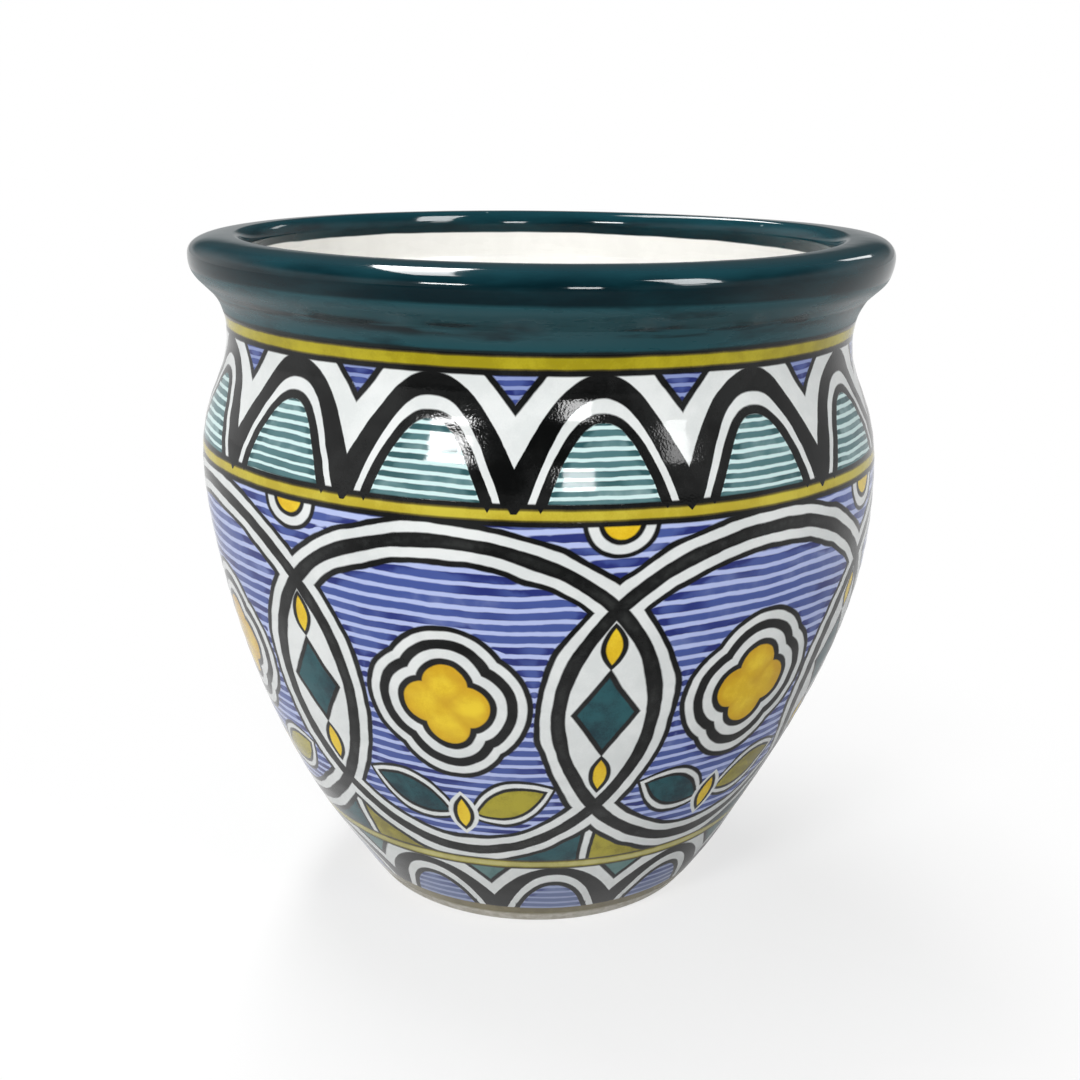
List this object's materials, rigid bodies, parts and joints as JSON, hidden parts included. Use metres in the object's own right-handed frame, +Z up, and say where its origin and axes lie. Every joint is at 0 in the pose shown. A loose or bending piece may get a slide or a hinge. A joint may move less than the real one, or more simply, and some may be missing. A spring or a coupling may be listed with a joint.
{
  "type": "ceramic planter",
  "caption": "Round footed ceramic planter with a swelling belly, drawn-in neck and thick rolled rim, painted in stripes and arched bands, with a drain hole closed by a lift-out plug.",
  "frame": {"origin": "on the ground plane, at the middle of the foot ring", "axes": "+Z up along the pot's axis of revolution; -Y is the side that the picture shows"},
  "size_m": [0.23, 0.23, 0.2229],
  "materials": {
    "bare_clay": "unglazed, matt, beige grey",
    "white_glaze": "glossy off-white glaze",
    "lower_paint": "hand-painted arches in blue, teal and black under clear glaze",
    "belly_paint": "hand-painted roundels, blue hatching, teal and yellow under clear glaze",
    "shoulder_paint": "hand-painted arcade in black, white, turquoise and blue under clear glaze",
    "teal_glaze": "glossy dark teal glaze",
    "dark_rubber": "matt dark rubber"
  },
  "bodies": {
    "pot": {"foot_ring": "bare_clay", "base_slab": "white_glaze", "lower_wall": "lower_paint", "bowl_wall": "belly_paint", "girth_wall": "belly_paint", "belly_wall": "belly_paint", "shoulder_wall": "shoulder_paint", "neck_wall": "shoulder_paint", "neck_collar": "teal_glaze", "rim_roll": "teal_glaze"},
    "plug": {"drain_plug": "dark_rubber"}
  },
  "joints": [
    {"name": "plug_lift", "type": "slide", "parent": "pot", "child": "plug", "axis": [0, 0, 1], "range_m": [0, 0.24]}
  ]
}
